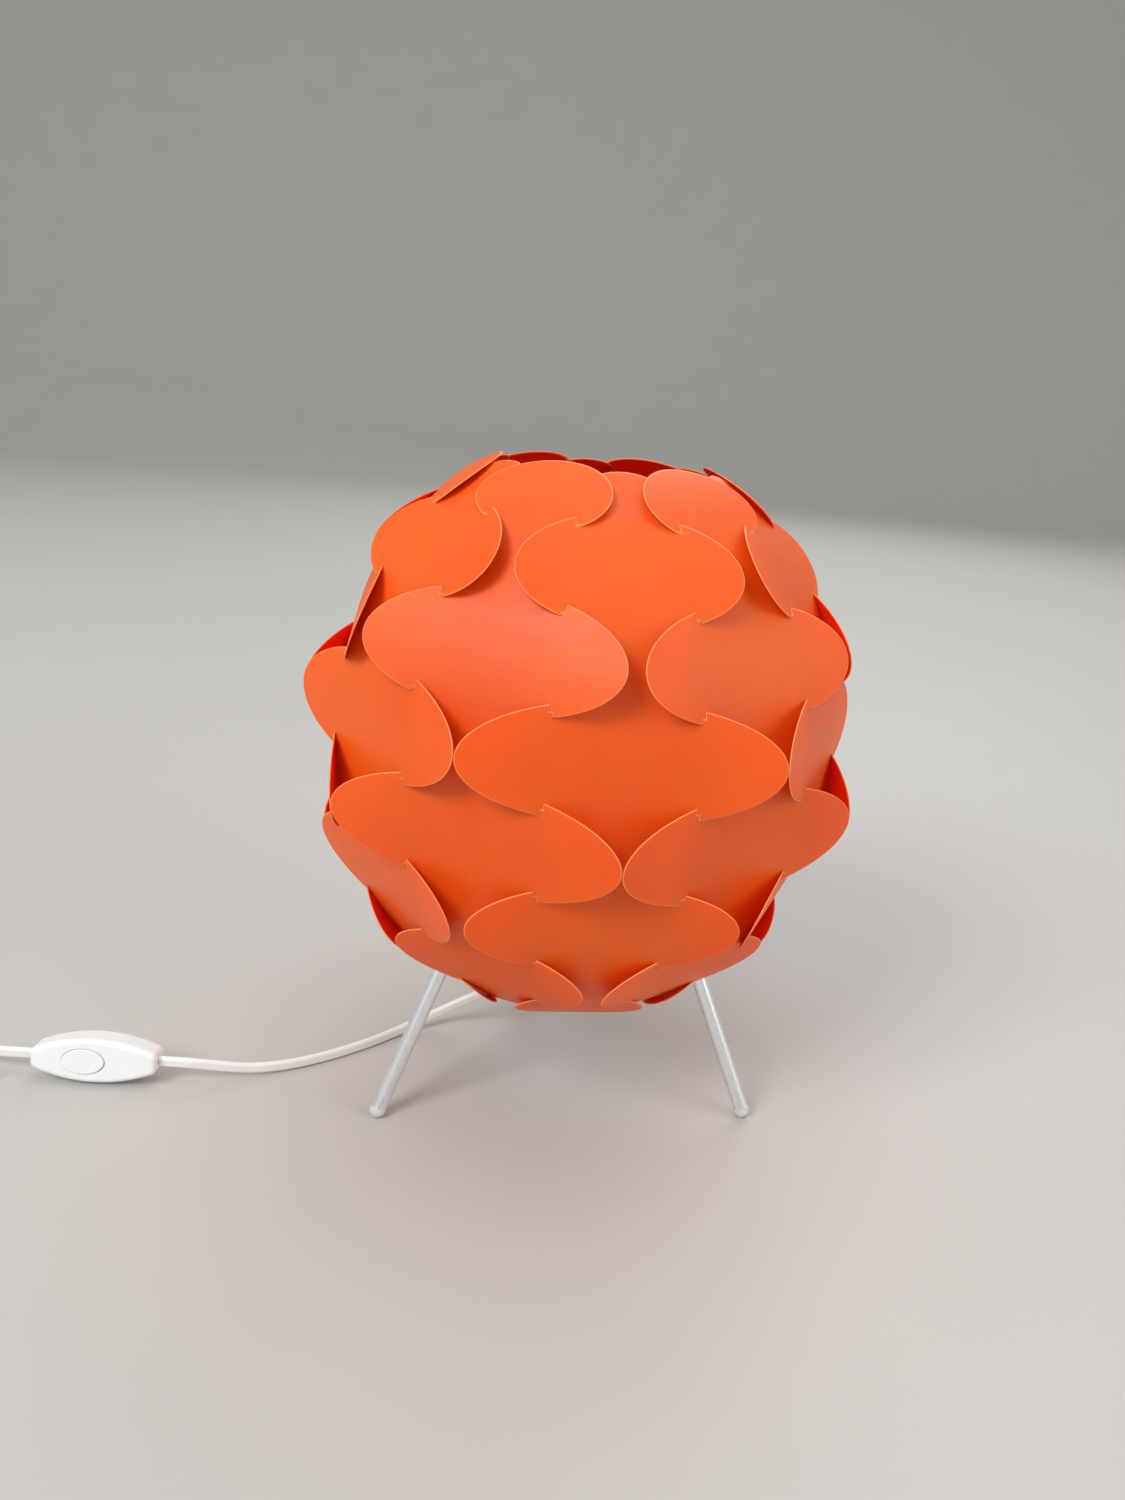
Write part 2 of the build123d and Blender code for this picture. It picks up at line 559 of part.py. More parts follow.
def cord_tube(name, points):
    """A round tube along the route. Returns its length."""
    radii = arc_radii(points)
    route = FilletPolyline(*points, radius=radii)
    tube = sweep(Plane(origin=route @ 0, z_dir=route % 0) * Circle(CORD_R), path=route)
    expected = route.length * pi * CORD_R**2
    print(name, "radii", [round(radius) for radius in radii], "length", round(route.length, 1),
          "volume over section x length", round(tube.volume / expected, 4))
    keep(name, tube)
    return route.length


def coil_point(angle):
    """A point on the coil's outer bottom turn, by compass angle in degrees."""
    x, y = COIL_CENTRE
    return (x + COIL_START_R * cos(radians(angle)), y + COIL_START_R * sin(radians(angle)), CORD_R)


def make_cord():
    """Lamp to switch, switch to coil, the coil with its tie, and the tail to the plug."""
    frame = switch_frame()
    half = SWITCH_LENGTH / 2
    near_enter, enter, leave, near_leave = [
        tuple(frame.from_local_coords((x, 0, SWITCH_SEAM))) for x in (half + 12, half, -half, -half - 12)
    ]
    to_switch = [
        (0, 0, GRIP_BOTTOM), (0, 0, 63), (-6, 8, 49.5), (-18, 19, 37), (-33, 28, 25), (-50, 31.5, 14.5),
        (-66.5, 29.5, 6.5), (-83, 20, 3.0), (-99, 7.5, 2.8), (-118, -4.5, 2.9), (-137.5, -13.8, 3.2),
        (-156.0, -19.8, 4.8), (-172.0, -23.2, 8.5), near_enter, enter,
    ]
    first = cord_tube("cord_to_switch", to_switch)
    to_coil = [leave, near_leave, (-284.0, -12.2, 9.4), (-297.5, -7.0, 5.8), (-311.5, -4.9, 3.2), coil_point(90)]
    second = cord_tube("cord_to_coil", to_coil)
    outer, inner = COIL_MEAN_R + COIL_HALF_WIDTH, COIL_MEAN_R - COIL_HALF_WIDTH
    coil = turned([
        (inner + 1.5, 0), (outer - 1.5, 0), (outer, 1.5), (outer, 4.2), (outer - 2.7, COIL_HEIGHT - 1.0),
        (outer - 4.0, COIL_HEIGHT), (inner + 4.0, COIL_HEIGHT), (inner + 2.7, COIL_HEIGHT - 1.0),
        (inner, 4.2), (inner, 1.5),
    ])
    keep("cord_coil", Pos(*COIL_CENTRE, 0) * coil)
    across = (inner - 1.4, outer + 1.2)
    tie = brick(across, (-2.5, 2.5), (0, COIL_HEIGHT + 1.2))
    tie -= brick((inner - 0.2, outer), (-3, 3), (-1, COIL_HEIGHT))
    keep("coil_tie", Pos(*COIL_CENTRE, 0) * Rot(0, 0, TIE_ANGLE) * tie)
    tail_x = COIL_CENTRE[0] - COIL_END_R
    tail_height = CORD_R + 0.93 * CORD_D
    collar_end = PLUG_MIDDLE_Y + PLUG_LENGTH / 2 + COLLAR_LENGTH
    middle = PLUG_THICKNESS / 2
    tail = [
        (tail_x, COIL_CENTRE[1], tail_height), (tail_x - 0.4, COIL_CENTRE[1] - 14, tail_height),
        (PLUG_X, collar_end + 13, middle), (PLUG_X, collar_end, middle),
    ]
    third = cord_tube("cord_tail", tail)
    print("cord outside the coil", round(first + second + third, 1), "in the coil",
          round(CORD_LENGTH - first - second - third, 1))


def make_plug():
    """A flat two-pin plug with a moulded collar, on its broad side beside the coil."""
    middle = PLUG_THICKNESS / 2
    low_y, high_y = PLUG_MIDDLE_Y - PLUG_LENGTH / 2, PLUG_MIDDLE_Y + PLUG_LENGTH / 2
    corners = [
        (-PLUG_WIDTH / 2 + 4, low_y), (PLUG_WIDTH / 2 - 4, low_y), (PLUG_WIDTH / 2, low_y + 10),
        (7.0, high_y), (-7.0, high_y), (-PLUG_WIDTH / 2, low_y + 10),
    ]
    body = extrude(make_face(Polyline(*corners, close=True)), PLUG_THICKNESS)
    body = fillet(body.edges().filter_by(Axis.Z), 2.0)
    body = chamfer(body.edges().group_by(Axis.Z)[0] + body.edges().group_by(Axis.Z)[-1], 0.8)
    collar = Pos(0, high_y, middle) * Rot(-90, 0, 0) * Pos(0, 0, COLLAR_LENGTH / 2) * Cone(5.2, 3.6, COLLAR_LENGTH)
    body = Pos(PLUG_X, 0, 0) * (body + collar)
    keep("plug_body", body)
    pins, sleeves = [], []
    for side in (-1, 1):
        place = Pos(PLUG_X + side * PIN_SPACING / 2, low_y, middle) * Rot(90, 0, 0)
        pin = cylinder(1.6, 0, PIN_SLEEVE_LENGTH) + cylinder(PIN_R, PIN_SLEEVE_LENGTH, PIN_LENGTH)
        pin = chamfer(pin.edges().group_by(Axis.Z)[-1], 0.6)
        pins.append(place * pin)
        sleeves.append(place * ring(PIN_R, 1.6, 0, PIN_SLEEVE_LENGTH))
    keep("plug_pins", Compound(children=pins))
    keep("plug_pin_sleeves", Compound(children=sleeves))


make_strips()
make_legs()
make_base()
make_holder()
make_bulb()
make_switch()
make_cord()
make_plug()

os.makedirs("parts", exist_ok=True)
for node, shape in PARTS.items():
    export_step(shape, f"parts/{node}.step")
print(len(PARTS), "nodes")
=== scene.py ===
"""A table lamp: a ball of hooked orange strips on three splayed legs, with its flat cord, switch and plug."""
import json
from math import cos, hypot, pi, radians, sin, sqrt, tan

import bmesh
import bpy
from mathutils import Matrix, Vector
from mathutils.geometry import delaunay_2d_cdt
from mathutils.kdtree import KDTree


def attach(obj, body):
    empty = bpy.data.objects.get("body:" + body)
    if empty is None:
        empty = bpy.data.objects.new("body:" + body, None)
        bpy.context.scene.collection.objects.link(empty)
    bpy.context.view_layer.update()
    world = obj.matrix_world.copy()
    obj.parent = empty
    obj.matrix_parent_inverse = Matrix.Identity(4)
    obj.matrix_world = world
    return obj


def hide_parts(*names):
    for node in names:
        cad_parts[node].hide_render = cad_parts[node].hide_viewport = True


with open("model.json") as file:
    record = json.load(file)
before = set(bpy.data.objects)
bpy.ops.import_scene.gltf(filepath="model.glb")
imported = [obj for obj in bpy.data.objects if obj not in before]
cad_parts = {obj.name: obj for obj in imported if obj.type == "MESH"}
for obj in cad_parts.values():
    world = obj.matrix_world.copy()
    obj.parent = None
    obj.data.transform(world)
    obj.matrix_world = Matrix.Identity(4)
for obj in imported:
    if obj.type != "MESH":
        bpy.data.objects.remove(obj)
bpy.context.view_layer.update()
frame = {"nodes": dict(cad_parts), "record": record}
MM = 0.001
LAMP = "lamp"

# ---- Sizes, in millimetres, as in the CAD model ----
STRIP_COUNT = 12
HALF_STEP = radians(180 / STRIP_COUNT)
EQUATOR_HEIGHT = 185.0
EQUATOR_APOTHEM = 117.4
ROW_PITCH = 39.0
RIM_PITCH = 29.0
RIM_ROW = 4
EQUATOR_BEND = 195.0
SHOULDER_BEND = 135.0
SHEET = 0.6
EDGE_WIDE = 0.4
EDGE_DEEP = 0.15
HOOK = 3.0
NECK_INSET = 2.2
NECK_OVERLAP = 8.0
TONGUE_NECK_INSET = 1.2
TONGUE_NECK_OVERLAP = 6.0
SLIT_HALF = 0.75
SLIT_LENGTH = 12.0
# Half width, and the rows of crossings above and below, of each oval.
OVALS = ((46.5, 3, 2), (67.0, 1, 0), (58.5, -1, -2), (30.0, -3, -4))
# Half width, half height and distance along the sheet of the tongue's end.
TONGUE = (13.6, 4.6, 142.0)
GRID_HALF_HEIGHT = 135.0
GRID_ROW = 3.0
GRID_COLUMN = 5.0
GRID_CLEARANCE = 1.3
OVAL_STEP = 0.8
SMALL_STEP = 0.7
SIDE_STEP = 1.0
BISECTIONS = 40
LEG_TILT = 25.0
LEG_SEARCH = (60.0, 110.0)
FOOT_RADIUS = 107.0
STRIP_HOLE_R = 3.2
SWITCH_MIDDLE = (-229.3, -21.5)
SWITCH_YAW = radians(-6.0)
SWITCH_HALF = 30.5
SWITCH_AXIS_HEIGHT = 11.905
CORD_WIDE = 5.4
CORD_THIN = 3.3
CORD_SHARP_ANGLE = 50.0
CORD_HALF_ARC = 78.0
CORD_ARC_STEPS = 8
CORD_GROOVE_EDGE = 0.93
CORD_GROOVE_FLOOR = 0.90
CORD_GROOVE_SHIFT = 0.35
COIL_CENTRE = (-326.0, -45.5)
COIL_MEAN_R = 5.6 * CORD_WIDE
COIL_STEPS = 24
COIL_LOW_TURNS = 4.0
COIL_HIGH_TURNS = 3.25
COIL_LAYER = 0.93 * CORD_WIDE
COIL_CLIMB_TURNS = 0.4
# In cord widths from the coil's mean radius.
COIL_OUTERMOST = 2
COIL_UPPER_START = 1.6
COIL_INNERMOST = 1.75
PLUG_X = -367.4
PLUG_TAIL_Y = -87.0
PLUG_MIDDLE_Z = 6.85

# ---- The view, in metres and degrees ----
CAMERA_PLACE = (-0.0852, -0.5357, 0.3379)
CAMERA_TURN = -8.17
CAMERA_PITCH = 90 - 16.86
CAMERA_ROLL = 4.88


# ---- Materials ----
def material(name, colour, roughness, metallic=0.0, **sockets):
    """A Principled material. Returns it with its nodes, links and shader."""
    made = bpy.data.materials.new(name)
    made.use_nodes = True
    nodes, links = made.node_tree.nodes, made.node_tree.links
    shader = nodes["Principled BSDF"]
    shader.inputs["Base Color"].default_value = (*colour, 1)
    shader.inputs["Roughness"].default_value = roughness
    shader.inputs["Metallic"].default_value = metallic
    for socket, value in sockets.items():
        shader.inputs[socket.replace("_", " ")].default_value = value
    made.diffuse_color = (*colour, 1)
    return made, nodes, links, shader


def noise(nodes, links, scale, detail=3.0, stretch=(1, 1, 1)):
    """A noise texture in object space, stretched along an axis where asked."""
    place = nodes.new("ShaderNodeTexCoord")
    mapping = nodes.new("ShaderNodeMapping")
    mapping.inputs["Scale"].default_value = stretch
    texture = nodes.new("ShaderNodeTexNoise")
    texture.inputs["Scale"].default_value = scale
    texture.inputs["Detail"].default_value = detail
    links.new(place.outputs["Object"], mapping.inputs["Vector"])
    links.new(mapping.outputs["Vector"], texture.inputs["Vector"])
    return texture.outputs["Fac"]


def ramp(nodes, links, factor, low, high, start=0.3, end=0.7):
    """Runs a factor through a two-colour ramp."""
    node = nodes.new("ShaderNodeValToRGB")
    for element, place, colour in zip(node.color_ramp.elements, (start, end), (low, high)):
        element.position = place
        element.color = (*colour, 1)
    links.new(factor, node.inputs["Fac"])
    return node.outputs["Color"]


def spread(nodes, links, factor, low, high):
    """Maps a 0 to 1 factor to low to high."""
    node = nodes.new("ShaderNodeMapRange")
    node.inputs["To Min"].default_value = low
    node.inputs["To Max"].default_value = high
    links.new(factor, node.inputs["Value"])
    return node.outputs["Result"]


def bump(nodes, links, shader, height, strength, distance):
    """Adds a bump from a height."""
    node = nodes.new("ShaderNodeBump")
    node.inputs["Strength"].default_value = strength
    node.inputs["Distance"].default_value = distance
    links.new(height, node.inputs["Height"])
    links.new(node.outputs["Normal"], shader.inputs["Normal"])


def moulded(name, colour, roughness, **sockets):
    """Plain moulded plastic: slightly uneven in tone and gloss, with a very fine skin."""
    made, nodes, links, shader = material(name, colour, roughness, **sockets)
    tone = noise(nodes, links, 90.0)
    low = tuple(0.94 * part for part in colour)
    links.new(ramp(nodes, links, tone, low, colour), shader.inputs["Base Color"])
    skin = noise(nodes, links, 2500.0, 2.0)
    links.new(spread(nodes, links, skin, roughness - 0.05, roughness + 0.07), shader.inputs["Roughness"])
    bump(nodes, links, shader, skin, 0.12, 0.0001)
    return made


def metal(name, colour, roughness):
    """Metal with a fine grain in its tone, gloss and surface."""
    made, nodes, links, shader = material(name, colour, roughness, 1.0)
    fine = noise(nodes, links, 2200.0)
    low = tuple(0.93 * part for part in colour)
    links.new(ramp(nodes, links, fine, low, colour), shader.inputs["Base Color"])
    links.new(spread(nodes, links, fine, roughness - 0.04, roughness + 0.06), shader.inputs["Roughness"])
    bump(nodes, links, shader, fine, 0.06, 0.00002)
    return made


def shade_plastic(name, colour, deep, roughness):
    """Satin sheet plastic: the colour drifts a little, with faint rubbed marks and a fine skin."""
    made, nodes, links, shader = material(
        name, colour, roughness, Specular_IOR_Level=0.36, Subsurface_Weight=0.5, Subsurface_Scale=0.003,
        Subsurface_Radius=(1.0, 0.12, 0.02),
    )
    drift = noise(nodes, links, 14.0, 2.0)
    links.new(ramp(nodes, links, drift, deep, colour, 0.35, 0.65), shader.inputs["Base Color"])
    rub = noise(nodes, links, 45.0, 5.0, (1, 1, 3))
    links.new(spread(nodes, links, rub, roughness - 0.07, roughness + 0.1), shader.inputs["Roughness"])
    bump(nodes, links, shader, noise(nodes, links, 1400.0, 2.0), 0.10, 0.00008)
    return made


ORANGE = shade_plastic("shade_sheet", (0.88, 0.112, 0.005), (0.83, 0.090, 0.003), 0.46)
# Painted shade: the strips' inner faces get a deeper, darker red than the outer faces, standing for the shade
# and the light passed on inside the lampshade.
ORANGE_INSIDE_PAINTED_SHADE = shade_plastic("shade_inner_face_painted_shade", (0.92, 0.050, 0.001), (0.88, 0.040, 0.001), 0.46)
# Painted highlight: the cut edges get a lighter orange than the faces, standing for the light that the thin
# edges catch and scatter.
ORANGE_EDGE_PAINTED_HIGHLIGHT = shade_plastic("shade_cut_edge_painted_highlight", (1.0, 0.28, 0.09), (0.95, 0.23, 0.06), 0.5)
WHITE = moulded("white_plastic", (0.84, 0.85, 0.85), 0.30)
HOLDER = moulded("holder_plastic", (0.80, 0.80, 0.78), 0.45)
CORD = moulded("cord_sheath", (0.84, 0.83, 0.81), 0.42)
CLEAR = moulded("clear_tip", (0.84, 0.85, 0.85), 0.18, Transmission_Weight=0.35, IOR=1.46)
OPAL = moulded("opal_glass", (0.93, 0.92, 0.89), 0.16, Coat_Weight=0.5)
ALUMINIUM = metal("satin_aluminium", (0.90, 0.92, 0.94), 0.27)
ZINC = metal("zinc_steel", (0.62, 0.62, 0.63), 0.36)
BRASS = metal("brass", (0.76, 0.57, 0.26), 0.30)
COPPER = metal("copper", (0.80, 0.43, 0.28), 0.32)
CAP_METAL = metal("bulb_cap_metal", (0.78, 0.78, 0.79), 0.28)
PAINTED = moulded("painted_steel", (0.80, 0.80, 0.79), 0.38)

SLOT_MATERIALS = {
    "leg_aluminium": ALUMINIUM, "clear_rubber": CLEAR, "white_steel": PAINTED, "zinc_steel": ZINC,
    "holder_plastic": HOLDER, "white_plastic": WHITE, "contact_brass": BRASS, "core_copper": COPPER,
    "bulb_cap_metal": CAP_METAL, "opal_glass": OPAL, "cord_white": CORD, "shade_plastic": ORANGE,
}


def dress_cad_nodes():
    """Gives every CAD node the material of its slot."""
    for part in frame["record"]["subparts"]:
        made = SLOT_MATERIALS[part["material_slot"]]
        mesh = frame["nodes"][part["node"]].data
        mesh.materials.clear()
        mesh.materials.append(made)


# ---- Mesh helpers ----
def new_piece(name, vertices, faces, materials, indices=None):
    """Makes a smooth mesh piece in metres from millimetre points, and lets it ride on the lamp."""
    mesh = bpy.data.meshes.new(name)
    mesh.from_pydata([Vector(point) * MM for point in vertices], [], faces)
    for made in materials:
        mesh.materials.append(made)
    if indices:
        mesh.polygons.foreach_set("material_index", indices)
    mesh.polygons.foreach_set("use_smooth", [True] * len(mesh.polygons))
    mesh.update()
    piece = bpy.data.objects.new(name, mesh)
    bpy.context.scene.collection.objects.link(piece)
    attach(piece, LAMP)
    return piece


# ---- The shade ----
def sheet_point(along):
    """(distance from the axis, height above the equator, lean) of the bent sheet's middle."""
    distance = abs(along)
    bend_one = min(distance, ROW_PITCH) / EQUATOR_BEND
    bend_two = bend_one + max(distance - ROW_PITCH, 0) / SHOULDER_BEND
    out = EQUATOR_APOTHEM - EQUATOR_BEND * (1 - cos(bend_one))
    out -= SHOULDER_BEND * (cos(bend_one) - cos(bend_two))
    up = EQUATOR_BEND * sin(bend_one)
    up += SHOULDER_BEND * (sin(bend_two) - sin(bend_one))
    return out, up if along >= 0 else -up, bend_two if along >= 0 else -bend_two


def along_at(height):
    """How far along the sheet a height above the equator is."""
    rise = abs(height)
    low, high = 0.0, RIM_ROW * ROW_PITCH
    for _ in range(BISECTIONS):
        middle = (low + high) / 2
        low, high = (middle, high) if sheet_point(middle)[1] < rise else (low, middle)
    return low if height >= 0 else -low


def crossing_at(along):
    """(half width, height) where a strip meets the planes half way to its neighbours."""
    out, up, _ = sheet_point(along)
    return out * tan(HALF_STEP), up


def crossing(row):
    """The same at a row of crossings."""
    rim = (RIM_ROW - 1) * ROW_PITCH + RIM_PITCH
    return crossing_at(ROW_PITCH * row if abs(row) < RIM_ROW else (rim if row > 0 else -rim))


def ellipse_points(wide, tall, middle, step=OVAL_STEP):
    """Points round an ellipse, about a step apart."""
    count = int(pi * (wide + tall) / step)
    return [(wide * cos(2 * pi * i / count), middle + tall * sin(2 * pi * i / count)) for i in range(count)]


def divided(corners):
    """A closed outline's points, with its sides divided into steps."""
    points = []
    for (x1, y1), (x2, y2) in zip(corners, corners[1:] + corners[:1]):
        count = max(1, int(hypot(x2 - x1, y2 - y1) / SIDE_STEP))
        points += [(x1 + (x2 - x1) * i / count, y1 + (y2 - y1) * i / count) for i in range(count)]
    return points


def anticlockwise(outline):
    """The outline, turned round if it runs clockwise."""
    area = sum(x1 * y2 - x2 * y1 for (x1, y1), (x2, y2) in zip(outline, outline[1:] + outline[:1]))
    return outline if area > 0 else outline[::-1]


def mirrored(corners):
    """A right-hand side closed by its mirror image."""
    return corners + [(-x, y) for x, y in reversed(corners)]


def strip_outlines():
    """(solid outlines, slit outlines) of a strip seen from the front."""
    solids, slits = [], []
    for wide, above, below in OVALS:
        (top_half, top), (low_half, low) = crossing(above), crossing(below)
        slope = (top - low) / (RIM_PITCH if below == -RIM_ROW else ROW_PITCH)
        middle_half = (top_half + low_half) / 2
        tall = ((top - low) / 2 + HOOK * slope) / sqrt(1 - (middle_half / wide) ** 2)
        solids.append(ellipse_points(wide, tall, (top + low) / 2))
        for row, way in ((above, 1), (below, -1)):
            if row == -RIM_ROW:
                continue
            near, near_height = crossing_at(ROW_PITCH * row)
            far, far_height = crossing_at(ROW_PITCH * row + way * SLIT_LENGTH)
            corners = [
                (near - SLIT_HALF, near_height), (near + SLIT_HALF, near_height),
                (far + SLIT_HALF, far_height), (far - SLIT_HALF, far_height),
            ]
            slits += [divided(corners), divided([(-x, y) for x, y in corners])]
    for upper, lower in ((2, 1), (0, -1), (-2, -3)):
        (top_half, top), (low_half, low) = crossing(upper), crossing(lower)
        top_half, low_half = top_half - NECK_INSET, low_half - NECK_INSET
        side = [
            (top_half, top + NECK_OVERLAP), (top_half, top), (low_half, low), (low_half, low - NECK_OVERLAP),
        ]
        solids.append(divided(mirrored(side)))
    wide, tall, along = TONGUE
    middle = sheet_point(along)[1]
    half, low = crossing(RIM_ROW - 1)
    half -= NECK_INSET
    side = [(wide - TONGUE_NECK_INSET, middle), (half, low), (half, low - TONGUE_NECK_OVERLAP)]
    solids.append(divided(mirrored(side)))
    solids.append(ellipse_points(wide, tall, middle, SMALL_STEP))
    return solids, slits


def leg_hole():
    """The outline of the hole that a leg passes through, seen from the front of its strip."""
    tilt = radians(LEG_TILT)
    low, high = LEG_SEARCH
    for _ in range(BISECTIONS):
        middle = (low + high) / 2
        wall = sheet_point(along_at(middle * cos(tilt) - EQUATOR_HEIGHT))[0]
        inside = FOOT_RADIUS - middle * sin(tilt) < wall
        low, high = (low, middle) if inside else (middle, high)
    height = low * cos(tilt) - EQUATOR_HEIGHT
    return ellipse_points(STRIP_HOLE_R, STRIP_HOLE_R, height, SMALL_STEP)


def flat_strip(holes=()):
    """(points, triangles) of a strip seen from the front, cut by its slits and holes."""
    solids, slits = strip_outlines()
    slits = slits + list(holes)
    points, faces = [], []
    for outline in map(anticlockwise, solids + slits):
        faces.append(list(range(len(points), len(points) + len(outline))))
        points += outline
    outlined = KDTree(len(points))
    for index, (x, y) in enumerate(points):
        outlined.insert((x, y, 0), index)
    outlined.balance()
    reach = max(abs(x) for x, _ in points)
    for row in range(int(2 * GRID_HALF_HEIGHT / GRID_ROW) + 1):
        height = -GRID_HALF_HEIGHT + GRID_ROW * row
        shift = GRID_COLUMN / 2 if row % 2 else 0
        for column in range(int(2 * reach / GRID_COLUMN) + 1):
            place = (-reach + GRID_COLUMN * column + shift, height)
            if outlined.find((*place, 0))[2] > GRID_CLEARANCE:
                points.append(place)
    result = delaunay_2d_cdt([Vector(point) for point in points], [], faces, 0, 1e-4)
    vertices, triangles, sources = result[0], result[2], result[5]
    kept = []
    for triangle, inside in zip(triangles, sources):
        if inside and min(inside) < len(solids) and max(inside) < len(solids):
            kept.append(list(triangle))
    used = sorted({index for triangle in kept for index in triangle})
    renumber = {old: new for new, old in enumerate(used)}
    triangles = [[renumber[index] for index in triangle] for triangle in kept]
    return [vertices[index] for index in used], triangles


def inward(points, triangles):
    """(boundary edges, inward direction at each boundary point)."""
    edges = {}
    for a, b, c in triangles:
        for pair in ((a, b), (b, c), (c, a)):
            edges[pair] = True
    border = [pair for pair in edges if (pair[1], pair[0]) not in edges]
    pulls = {}
    for a, b in border:
        way = (points[b] - points[a]).normalized()
        normal = Vector((-way.y, way.x))
        for index in (a, b):
            pulls.setdefault(index, []).append(normal)
    directions = {}
    for index, normals in pulls.items():
        total = sum(normals, Vector((0, 0)))
        if total.length < 1e-6:
            directions[index] = Vector((0, 0))
            continue
        unit = total.normalized()
        directions[index] = unit / max(0.5, unit.dot(normals[0]))
    return border, directions


def strip_mesh(points, triangles):
    """Both faces and the bevelled edge of a strip, bent into shape. In the frame of a strip facing -Y."""
    border, directions = inward(points, triangles)

    def bent(point, offset):
        out, _, lean = sheet_point(along_at(point.y))
        return (point.x, -(out + offset * cos(lean)), point.y + offset * sin(lean))

    half = SHEET / 2
    inner = [point + directions.get(index, Vector((0, 0))) * EDGE_WIDE for index, point in enumerate(points)]
    count = len(points)
    vertices = [bent(point, half) for point in inner] + [bent(point, -half) for point in inner]
    faces = [tuple(triangle) for triangle in triangles]
    faces += [tuple(count + index for index in reversed(triangle)) for triangle in triangles]
    flat = len(faces)
    rim = {}
    for index in directions:
        rim[index] = len(vertices)
        vertices.append(bent(points[index], half - EDGE_DEEP))
        vertices.append(bent(points[index], EDGE_DEEP - half))
    for a, b in border:
        for low, high in (((a, b), (rim[a], rim[b])), ((rim[a], rim[b]), (rim[a] + 1, rim[b] + 1)),
                          ((rim[a] + 1, rim[b] + 1), (count + a, count + b))):
            faces.append((low[0], high[0], high[1], low[1]))
    return vertices, faces, flat, count


def make_shade():
    """Twelve strips, every second one upside down. A leg passes through three of them."""
    plain = strip_mesh(*flat_strip())
    holed = strip_mesh(*flat_strip([leg_hole()]))
    for index in range(STRIP_COUNT):
        vertices, faces, flat, count = holed if index % 4 == 2 else plain
        turn = Matrix.Rotation(radians(360 / STRIP_COUNT * index), 3, "Z")
        if index % 2:
            turn = turn @ Matrix.Rotation(pi, 3, "Y")
        placed = [turn @ Vector(point) + Vector((0, 0, EQUATOR_HEIGHT)) for point in vertices]
        # Material index 1, the inner faces, takes the deeper red of painted shade.
        indices = [0] * (flat // 2) + [1] * (flat // 2) + [2] * (len(faces) - flat)
        name = f"shade_strip_{index + 1:02d}"
        # The third material, for the cut edges, is the lighter orange of painted highlight.
        kinds = (ORANGE, ORANGE_INSIDE_PAINTED_SHADE, ORANGE_EDGE_PAINTED_HIGHLIGHT)
        piece = new_piece(name + "_sheet", placed, faces, kinds, indices=indices)
        sharp_sheet_edges(piece, 2 * count)
        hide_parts(name)


def sharp_sheet_edges(piece, count):
    """Keeps the sheet's faces smooth and their borders crisp."""
    mesh = piece.data
    faces_of = {}
    for polygon in mesh.polygons:
        for key in polygon.edge_keys:
            faces_of.setdefault(key, []).append(polygon.material_index)
    for edge in mesh.edges:
        kinds = faces_of.get(edge.key, [])
        edge.use_edge_sharp = len(set(kinds)) > 1


# ---- The cord ----
def nurbs_points(name, route, steps):
    """Points along the smooth NURBS line of a route, in metres."""
    curve = bpy.data.curves.new(name, "CURVE")
    curve.dimensions = "3D"
    curve.resolution_u = steps
    spline = curve.splines.new("NURBS")
    spline.points.add(len(route) - 1)
    for point, place in zip(spline.points, route):
        point.co = (*(Vector(place) * MM), 1)
    spline.order_u = 3
    spline.use_endpoint_u = True
    holder = bpy.data.objects.new(name, curve)
    bpy.context.scene.collection.objects.link(holder)
    bpy.context.view_layer.update()
    line = bpy.data.meshes.new_from_object(holder)
    points = [vertex.co.copy() for vertex in line.vertices]
    bpy.data.objects.remove(holder)
    bpy.data.curves.remove(curve)
    bpy.data.meshes.remove(line)
    return points


def flex_section():
    """The flat flex's section as (thin, wide) in metres: two joined round halves with a groove between."""
    side = CORD_THIN / 2
    shift = CORD_WIDE / 2 - side
    points = []
    for half in (1, -1):
        for step in range(CORD_ARC_STEPS + 1):
            angle = radians(-CORD_HALF_ARC + 2 * CORD_HALF_ARC * step / CORD_ARC_STEPS)
            points.append((half * side * sin(angle), half * (shift + side * cos(angle))))
        points.append((half * side * CORD_GROOVE_EDGE, half * shift * CORD_GROOVE_SHIFT))
        points.append((half * side * CORD_GROOVE_FLOOR, 0.0))
        points.append((half * side * CORD_GROOVE_EDGE, -half * shift * CORD_GROOVE_SHIFT))
    return [(thin * MM, wide * MM) for thin, wide in points]


def flex_mesh(name, points, steady_from):
    """Sweeps the flex along a line, its wide side upright from steady_from on and carried back to the start."""
    tangents = []
    for index in range(len(points)):
        before, after = points[max(index - 1, 0)], points[min(index + 1, len(points) - 1)]
        tangents.append((after - before).normalized())
    wides = [None] * len(points)
    up = Vector((0, 0, 1))
    for index in range(steady_from, len(points)):
        wides[index] = (up - tangents[index] * up.dot(tangents[index])).normalized()
    for index in range(steady_from - 1, -1, -1):
        carried = wides[index + 1]
        wides[index] = (carried - tangents[index] * carried.dot(tangents[index])).normalized()
    section = flex_section()
    ring = len(section)
    vertices, faces = [], []
    for point, tangent, wide in zip(points, tangents, wides):
        thin = wide.cross(tangent)
        vertices += [point + thin * a + wide * b for a, b in section]
    for step in range(len(points) - 1):
        for side in range(ring):
            a, b = step * ring + side, step * ring + (side + 1) % ring
            faces.append((a, a + ring, b + ring, b))
    faces.append(tuple(range(ring)))
    faces.append(tuple(reversed(range(len(vertices) - ring, len(vertices)))))
    piece = new_piece(name, [vertex / MM for vertex in vertices], faces, (CORD,))
    tidy_normals(piece)
    return piece


